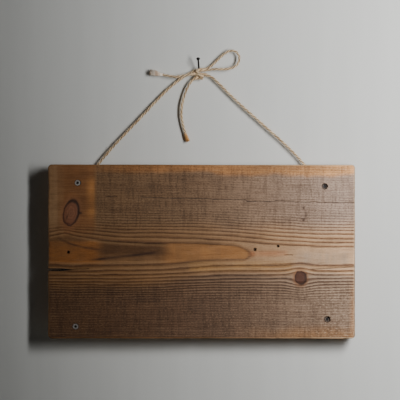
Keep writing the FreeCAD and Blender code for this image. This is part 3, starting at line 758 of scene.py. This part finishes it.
def frames(centres, up):
    """Directions ahead, across and over at each point of some lines: across is ahead crossed with up."""
    ahead = np.gradient(centres, axis=-2)
    ahead = ahead / np.maximum(np.linalg.norm(ahead, axis=-1, keepdims=True), 1e-9)
    across = np.cross(ahead, up)
    across = across / np.maximum(np.linalg.norm(across, axis=-1, keepdims=True), 1e-9)
    return ahead, across, np.cross(across, ahead)


def tubes(centres, up, radii, sides):
    """Round closed tubes along several lines at once: centre + radius (cos a * across + sin a * over)."""
    count, length = centres.shape[:2]
    _, across, over = frames(centres, up)
    angle = np.arange(sides) * 2 * math.pi / sides
    ring = across[:, :, None] * np.cos(angle)[:, None] + over[:, :, None] * np.sin(angle)[:, None]
    points = centres[:, :, None] + radii[:, :, None, None] * ring
    number = np.arange(count * length * sides).reshape(count, length, sides)
    after = np.roll(number, -1, 2)
    quads = np.stack([number[:, :-1], number[:, 1:], after[:, 1:], after[:, :-1]], -1).reshape(-1, 4)
    caps = [*number[:, 0].tolist(), *number[:, -1, ::-1].tolist()]
    return points.reshape(-1, 3), quads.tolist() + caps


def merged(parts):
    """Several (points, faces, values) surfaces as one."""
    points, faces, values, start = [], [], {}, 0
    for more, more_faces, more_values in parts:
        points.append(more)
        faces += [[start + i for i in face] for face in more_faces]
        for key, value in more_values.items():
            values.setdefault(key, []).append(value)
        start += len(more)
    return np.concatenate(points), faces, {key: np.concatenate(value) for key, value in values.items()}


def spun(line, radius, lay, seed, step=0.00055, up=(0, 1, 0), strands=3, sides=9):
    """Twine as strands wound evenly round its line: each strand's centre turns once every lay.

    Each strand swells and thins a little, and each point keeps how far out it is, for the painted shade of the
    twist.
    """
    centre, at = even(line, step)
    _, across, over = frames(centre[None], np.array(up, float))
    across, over = across[0], over[0]
    strand = np.arange(strands)[:, None]
    slow = drift(at / 0.021, 0 * at, seed)
    turn = 2 * math.pi * (at / lay + strand / strands) + 0.5 * slow
    out = 0.56 * radius * (1 + 0.10 * drift(at / 0.006 + 7 * strand, strand + 0 * at, seed + 1))
    centres = centre + out[..., None] * (np.cos(turn)[..., None] * across + np.sin(turn)[..., None] * over)
    thick = 0.50 * radius * (1 + 0.15 * drift(at / 0.0035 + 5 * strand, strand + 0 * at, seed + 2))
    points, faces = tubes(centres, np.array(up, float), thick, sides)
    axis = np.broadcast_to(centre[None, :, None], (strands, len(at), sides, 3)).reshape(-1, 3)
    outwardness = np.linalg.norm(points - axis, axis=1) / (1.06 * radius)
    run_along = np.broadcast_to(at[None, :, None] / MM, (strands, len(at), sides)).ravel()
    run_round = np.broadcast_to(np.arange(sides)[None, None] * 0.6 + 9 * strand[..., None],
                                (strands, len(at), sides))
    return points, faces, {"outwardness": outwardness, "run_u": run_along, "run_v": run_round.ravel()}


def fibres_along(centres, radii):
    """Loose fibres as slim three-sided tubes, as light as the outside of the twist."""
    points, faces = tubes(centres, np.array((0.31, 0.72, 0.62)), radii, 3)
    zero = np.zeros(len(points))
    return points, faces, {"outwardness": zero + 1, "run_u": points[:, 0] / MM, "run_v": zero}


def whiskers(line, radius, per_metre, seed, up=(0, 1, 0)):
    """Loose fibres: each leaves the twine's skin, leans along it and curls, tapering to a point."""
    random = np.random.default_rng(seed)
    centre, at = even(line, 0.0005)
    ahead, across, over = (f[0] for f in frames(centre[None], np.array(up, float)))
    count = max(6, int(per_metre * at[-1]))
    where = random.integers(2, len(at) - 2, count)
    turn = random.uniform(0, 2 * math.pi, count)
    out = np.cos(turn)[:, None] * across[where] + np.sin(turn)[:, None] * over[where]
    side = np.cross(out, ahead[where])
    t = np.linspace(0, 1, 6)[None, :, None]
    rise = (random.uniform(0.15, 1.0, count) ** 1.6 * 1.45 * radius)[:, None, None]
    lean = random.uniform(-1, 1, count)[:, None, None] * 2.6 * radius
    curl = random.uniform(-1, 1, count)[:, None, None] * 1.1 * radius
    centres = (centre[where][:, None] + out[:, None] * (0.72 * radius + rise * np.sin(t * 2.1))
               + ahead[where][:, None] * lean * t + side[:, None] * curl * t * t)
    radii = np.broadcast_to(0.00009 * (1.05 - t[..., 0]), (count, 6))
    return fibres_along(centres, radii)


def frayed(line, radius, length, spread, count, seed):
    """A cut end coming undone: fibres start packed together and fan out, each bending its own way."""
    random = np.random.default_rng(seed)
    centre, _ = even(line, 0.0005)
    ahead, across, over = (f[0] for f in frames(centre[None], np.array((0.0, 1.0, 0.0))))
    start, ahead, across, over = centre[-9], ahead[-1], across[-1], over[-1]
    turn, far = random.uniform(0, 2 * math.pi, count), np.sqrt(random.uniform(0, 1, count))
    out = np.cos(turn)[:, None] * across + np.sin(turn)[:, None] * over
    t = np.linspace(0, 1, 7)[None, :, None]
    long = (length * random.uniform(0.55, 1.0, count))[:, None, None]
    fan = (spread * far * random.uniform(0.6, 1.0, count))[:, None, None]
    bend = random.uniform(-1, 1, (count, 1, 1)) * spread * 0.35
    centres = (start + 0.9 * radius * far[:, None, None] * out[:, None] + ahead * (long + 0.004) * t
               + out[:, None] * (fan - 0.9 * radius * far[:, None, None]) * t ** 1.15
               + np.cross(out, ahead)[:, None] * bend * t * t)
    thick = random.uniform(0.00013, 0.00024, count)[:, None] * (1.1 - 0.6 * t[..., 0])
    return fibres_along(centres, thick)


def twine_piece(name, parts, material, nodes):
    """Twine as one piece that rides with the twine, with its run along and round the strands as a UV map."""
    points, faces, values = merged(parts)
    run_u, run_v = values.pop("run_u"), values.pop("run_v")
    made = piece(name, points, faces, material, "twine", values)
    corners = np.empty(len(made.data.loops), np.int32)
    made.data.loops.foreach_get("vertex_index", corners)
    layer = made.data.uv_layers.new(name="run")
    layer.data.foreach_set("uv", np.stack([run_u[corners], run_v[corners]], 1).astype(np.float32).ravel())
    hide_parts(*nodes)
    return made


# ---------------------------------------------------------------- settings a user would change

class PlaqueColours(bpy.types.PropertyGroup):
    """The board's and the twine's colours, as sRGB hex codes."""
    early_wood: StringProperty(
        name="Early wood", description="Beside the heart, brown end", default="#84603e")
    pale_early_wood: StringProperty(
        name="Pale early wood", description="Beside the heart, pale end", default="#c49b73")
    bleached: StringProperty(
        name="Bleached", description="Upper weathered field, brown end", default="#75593f")
    pale_bleached: StringProperty(
        name="Pale bleached", description="Upper weathered field, pale end", default="#ab9280")
    shaded: StringProperty(name="Shaded", description="Lower weathered field, brown end", default="#5f4430")
    pale_shaded: StringProperty(
        name="Pale shaded", description="Lower weathered field, pale end", default="#947a64")
    edge: StringProperty(
        name="Edge", description="Unbleached strip along the top, brown end", default="#8f6137")
    pale_edge: StringProperty(
        name="Pale edge", description="Unbleached strip along the top, pale end", default="#c9925c")
    amber: StringProperty(name="Amber", description="Sound heart streak", default="#986839")
    jute: StringProperty(name="Jute", description="Light fibres of the twine", default="#fbe3b9")
    cut_jute: StringProperty(
        name="Cut jute", description="Combed out fibres of the long tail's end", default="#fff5e4")
    dry_jute: StringProperty(
        name="Dry jute", description="Fibres of the hanging tail's tip", default="#e8b06c")


class PlaqueSizes(bpy.types.PropertyGroup):
    """Sizes of the twine and of the stage."""
    twine_radius: FloatProperty(
        name="Twine radius", description="Half the twine's thickness", default=0.0013, unit="LENGTH")
    twine_lay: FloatProperty(
        name="Twine lay", description="Length of one turn of a strand", default=0.0165, unit="LENGTH")
    whiskers: IntProperty(name="Whiskers", description="Loose fibres for each metre of twine", default=2600)
    lamp_power: FloatProperty(
        name="Lamp power", description="Power of the window light", default=26.0, unit="POWER")
    floor_level: FloatProperty(
        name="Floor level", description="Height of the floor below the nail", default=-1.5, unit="LENGTH")


class PlaqueSettings(bpy.types.PropertyGroup):
    """Everything that the plaque's operators read."""
    colours: PointerProperty(type=PlaqueColours)
    sizes: PointerProperty(type=PlaqueSizes)


# ---------------------------------------------------------------- operators

class PLAQUE_OT_stage(bpy.types.Operator):
    """Set up the camera, the pale floor and wall, and the soft window light"""
    bl_idname = "plaque.stage"
    bl_label = "Stage"

    def execute(self, context):
        sizes = context.scene.plaque.sizes
        camera = bpy.data.cameras.new("camera")
        camera.lens, camera.sensor_width = 320.0, 36.0
        view_width = 0.3908  # metres across the view, at the board's face
        eye = bpy.data.objects.new("camera", camera)
        eye.location = (0.0005, CAD_BOX[0].y - view_width * camera.lens / camera.sensor_width, -0.1211)
        eye.rotation_euler = (math.radians(90), 0, 0)
        context.scene.collection.objects.link(eye)
        context.scene.camera = eye
        self.floor(context, sizes.floor_level)
        self.wall(context, sizes.floor_level)
        self.lights(context, sizes.lamp_power)
        return {"FINISHED"}

    def sheet(self, context, name, corners, material):
        """One flat quad of the stage."""
        mesh = bpy.data.meshes.new(name)
        mesh.from_pydata(corners, [], [(0, 1, 2, 3)])
        mesh.materials.append(material)
        made = bpy.data.objects.new(name, mesh)
        context.scene.collection.objects.link(made)
        return made

    def floor(self, context, level):
        """A pale floor all round."""
        material, tree, shader = plain_plaster("pale_floor", "#c9c8c2")
        # The floor is far below, where little light falls: it looks pale, though it sends up no more light.
        glow = add(tree, "ShaderNodeEmission", {"Color": linear("#a9aaa6"), "Strength": 0.45})
        looking = add(tree, "ShaderNodeLightPath").outputs["Is Camera Ray"]
        switch(tree, looking, shader, glow, "Material Output")
        half = 9
        corners = [(-half, -half, level), (half, -half, level), (half, half, level), (-half, half, level)]
        self.sheet(context, "floor", corners, material)

    def wall(self, context, level):
        """A wall just behind the battens that takes the shadow; seen from behind it isn't there."""
        material, tree, shader = plain_plaster("pale_wall", "#c5c5bf")
        behind = add(tree, "ShaderNodeNewGeometry").outputs["Backfacing"]
        clear = add(tree, "ShaderNodeBsdfTransparent")
        switch(tree, behind, shader, clear, "Material Output")
        half, y, top = 2.5, 0.0006, 1.6
        corners = [(-half, y, level), (half, y, level), (half, y, top), (-half, y, top)]
        made = self.sheet(context, "wall", corners, material)
        made.visible_shadow = False

    def lights(self, context, power):
        """A window to the right and a little above, and weak fills for the back and the sides."""
        world = bpy.data.worlds.new("room")
        context.scene.world = world
        world.use_nodes = True
        tree = world.node_tree
        room = tree.nodes["Background"]
        room.inputs["Color"].default_value = linear("#c8ccd2")
        room.inputs["Strength"].default_value = 0.024
        # The room beyond the stage looks pale, though it gives little light.
        seen = add(tree, "ShaderNodeBackground", {"Color": linear("#b4b6b4"), "Strength": 0.5})
        looking = add(tree, "ShaderNodeLightPath").outputs["Is Camera Ray"]
        switch(tree, looking, room, seen, "World Output")
        self.lamp(context, "window", (0.42, -0.80, 0.09), (0.69, 0.72, 0.06), (0.60, 0.32), power, "#fbfcff")
        self.lamp(context, "back_fill", (0.5, 1.6, 0.6), (-0.30, -0.85, -0.36), (1.2, 1.2), 9.0, "#ffffff")
        self.lamp(context, "side_fill", (-1.6, 0.25, 0.1), (1.0, -0.10, -0.1), (0.8, 0.8), 3.0, "#ffffff")

    def lamp(self, context, name, place, aim, size, power, colour):
        """A rectangular soft light at place that shines towards aim."""
        light = bpy.data.lights.new(name, "AREA")
        light.shape, light.size, light.size_y = "RECTANGLE", size[0], size[1]
        light.energy, light.color = power, linear(colour)[:3]
        made = bpy.data.objects.new(name, light)
        made.location = place
        made.rotation_euler = Vector(aim).to_track_quat("-Z", "Z").to_euler()
        made.visible_camera = False
        context.scene.collection.objects.link(made)


class PLAQUE_OT_twine(bpy.types.Operator):
    """Lay the jute twine: both legs and the run behind the board, the bow's loop, the tails and the knot"""
    bl_idname = "plaque.twine"
    bl_label = "Twine"

    def execute(self, context):
        plaque = context.scene.plaque
        radius, lay, fuzz = plaque.sizes.twine_radius, plaque.sizes.twine_lay, plaque.sizes.whiskers
        # The last number is each finish's share of painted shade between the strands.
        material = jute("spun_jute", plaque.colours.jute, 0.85)
        cut = jute("combed_jute", plaque.colours.cut_jute, 0.0)
        dry = jute("dry_jute_tip", plaque.colours.dry_jute, 0.0)
        knot = self.knot(jute("squeezed_jute", plaque.colours.jute, 0.55), radius, lay, fuzz)
        ends = {
            "left_tail": self.end("left_frayed_end", LEFT_TAIL, cut, radius, 0.0095, 0.0033, 420, 301),
            "hanging_tail": self.end(
                "hanging_frayed_end", HANGING_TAIL, dry, radius, 0.0050, 0.0021, 260, 302),
        }
        facts = {
            "hanging_twine": (HANGING_TWINE, 0.506, "knot", "taut", [knot]),
            "bow_loop": (BOW_LOOP, 0.0903, "object", "loose", []),
            "left_tail": (LEFT_TAIL, 0.0375, "bare", "loose", [ends["left_tail"]]),
            "hanging_tail": (HANGING_TAIL, 0.0658, "bare", "hanging", [ends["hanging_tail"]]),
        }
        for seed, (node, (route, length, far_end, hang, with_pieces)) in enumerate(facts.items()):
            line = smooth_line(route)
            slim = 0.84 if node == "bow_loop" else 0.92
            parts = [spun(line, radius * slim, lay * slim, 100 + 10 * seed),
                     whiskers(line, radius, fuzz, 200 + seed)]
            made = twine_piece("jute_" + node, parts, material, [node])
        return {"FINISHED"}

    def knot(self, material, radius, lay, fuzz):
        """The crossings inside the bow, the binding turn fatter because it is squeezed flat."""
        parts = []
        turns = ((UPPER_CROSSING, 1.0), (LOWER_CROSSING, 1.05), (BINDING_TURN, 1.32))
        for seed, (route, swell) in enumerate(turns):
            line = smooth_line(route)
            up = (0.35, 0.2, 0.9) if swell > 1.2 else (0, 1, 0)
            parts.append(spun(line, radius * swell, lay * 1.1, 400 + 10 * seed, 0.0004, up))
            parts.append(whiskers(line, radius * swell, fuzz * 1.3, 450 + seed, up))
        return twine_piece("bow_knot_turns", parts, material, ["bow_knot"])

    def end(self, node, route, material, radius, length, spread, count, seed):
        """One frayed end beyond a tail."""
        parts = [frayed(smooth_line(route), radius, length, spread, count, seed)]
        return twine_piece("jute_" + node, parts, material, [node])


class PLAQUE_OT_board(bpy.types.Operator):
    """Make the weathered board with its raised grain, knots, end split, sunk screws and old nail holes"""
    bl_idname = "plaque.board"
    bl_label = "Board"

    def execute(self, context):
        points, quads, values = board_surface(context.scene.plaque.colours)
        made = piece("weathered_board", points * MM, quads.tolist(), weathered_pine(),
                     "plaque", values, sharp=50)
        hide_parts("plaque_board")
        return {"FINISHED"}


class PLAQUE_OT_battens(bpy.types.Operator):
    """Make the two rough sawn battens behind the board"""
    bl_idname = "plaque.battens"
    bl_label = "Battens"

    def execute(self, context):
        material = sawn_spruce()
        for seed, node in enumerate(BATTENS):
            points, quads, values = batten_surface(node, 80 + 10 * seed)
            made = piece("sawn_" + node, points * MM, quads.tolist(), material, "plaque",
                         values, sharp=50)
            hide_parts(node)
        return {"FINISHED"}


class PLAQUE_OT_ironwork(bpy.types.Operator):
    """Finish the screws, the screw eyes and the wall nail"""
    bl_idname = "plaque.ironwork"
    bl_label = "Ironwork"

    def execute(self, context):
        # Zinc-flashed steel screws: the left pair dulled to grey round a dark recess, the right pair dark
        # brown in patches, painted as the shade deep in their holes.
        finishes = {}
        for node in SUNK_SCREWS:
            low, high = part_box(node)
            # Painted shade: the right pair's dark tones stand for the shade deep in their holes.
            tones = ("dulled", "#9f9a93", "#6b6158") if low[0] < 0 else ("shade_darkened", "#5b4a3c", "#221812")
            finishes[node] = iron(tones[0] + "_steel_" + node, tones[1], tones[2], 0.55, 0.3, 0.8,
                                  (low + high) / 2)
        # Bright zinc-plated wire bent cold: light grey, even and a little glossy.
        eye = iron("zinc_plated_wire", "#b9bcbf", "#86868a", 0.32, 0.9, 1.6)
        # A black iron nail, oiled and scaled: near black with a soft highlight.
        nail = iron("black_iron_nail", "#2b2725", "#171413", 0.42, 0.7, 0.9)
        finishes |= {"left_screw_eye": eye, "right_screw_eye": eye, "wall_nail": nail}
        for node, material in finishes.items():
            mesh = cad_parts[node].data
            mesh.materials.clear()
            mesh.materials.append(material)
        return {"FINISHED"}


class PLAQUE_PT_panel(bpy.types.Panel):
    """Buttons for the plaque's pieces, in the order they are made"""
    bl_label = "Hanging Plaque"
    bl_idname = "PLAQUE_PT_panel"
    bl_space_type = "VIEW_3D"
    bl_region_type = "UI"
    bl_category = "Plaque"

    def draw(self, context):
        for operator in ORDER:
            self.layout.operator(operator.bl_idname)
        for group in (context.scene.plaque.colours, context.scene.plaque.sizes):
            for name in group.__annotations__:
                self.layout.prop(group, name)


ORDER = (PLAQUE_OT_stage, PLAQUE_OT_twine, PLAQUE_OT_board, PLAQUE_OT_battens, PLAQUE_OT_ironwork)
CLASSES = (PlaqueColours, PlaqueSizes, PlaqueSettings, *ORDER, PLAQUE_PT_panel)


def register():
    for each in CLASSES:
        bpy.utils.register_class(each)
    bpy.types.Scene.plaque = PointerProperty(type=PlaqueSettings)


def unregister():
    del bpy.types.Scene.plaque
    for each in reversed(CLASSES):
        bpy.utils.unregister_class(each)


def main():
    register()
    bpy.ops.plaque.stage()
    bpy.ops.plaque.twine()
    bpy.ops.plaque.board()
    bpy.ops.plaque.battens()
    bpy.ops.plaque.ironwork()


if __name__ == "__main__":
    main()
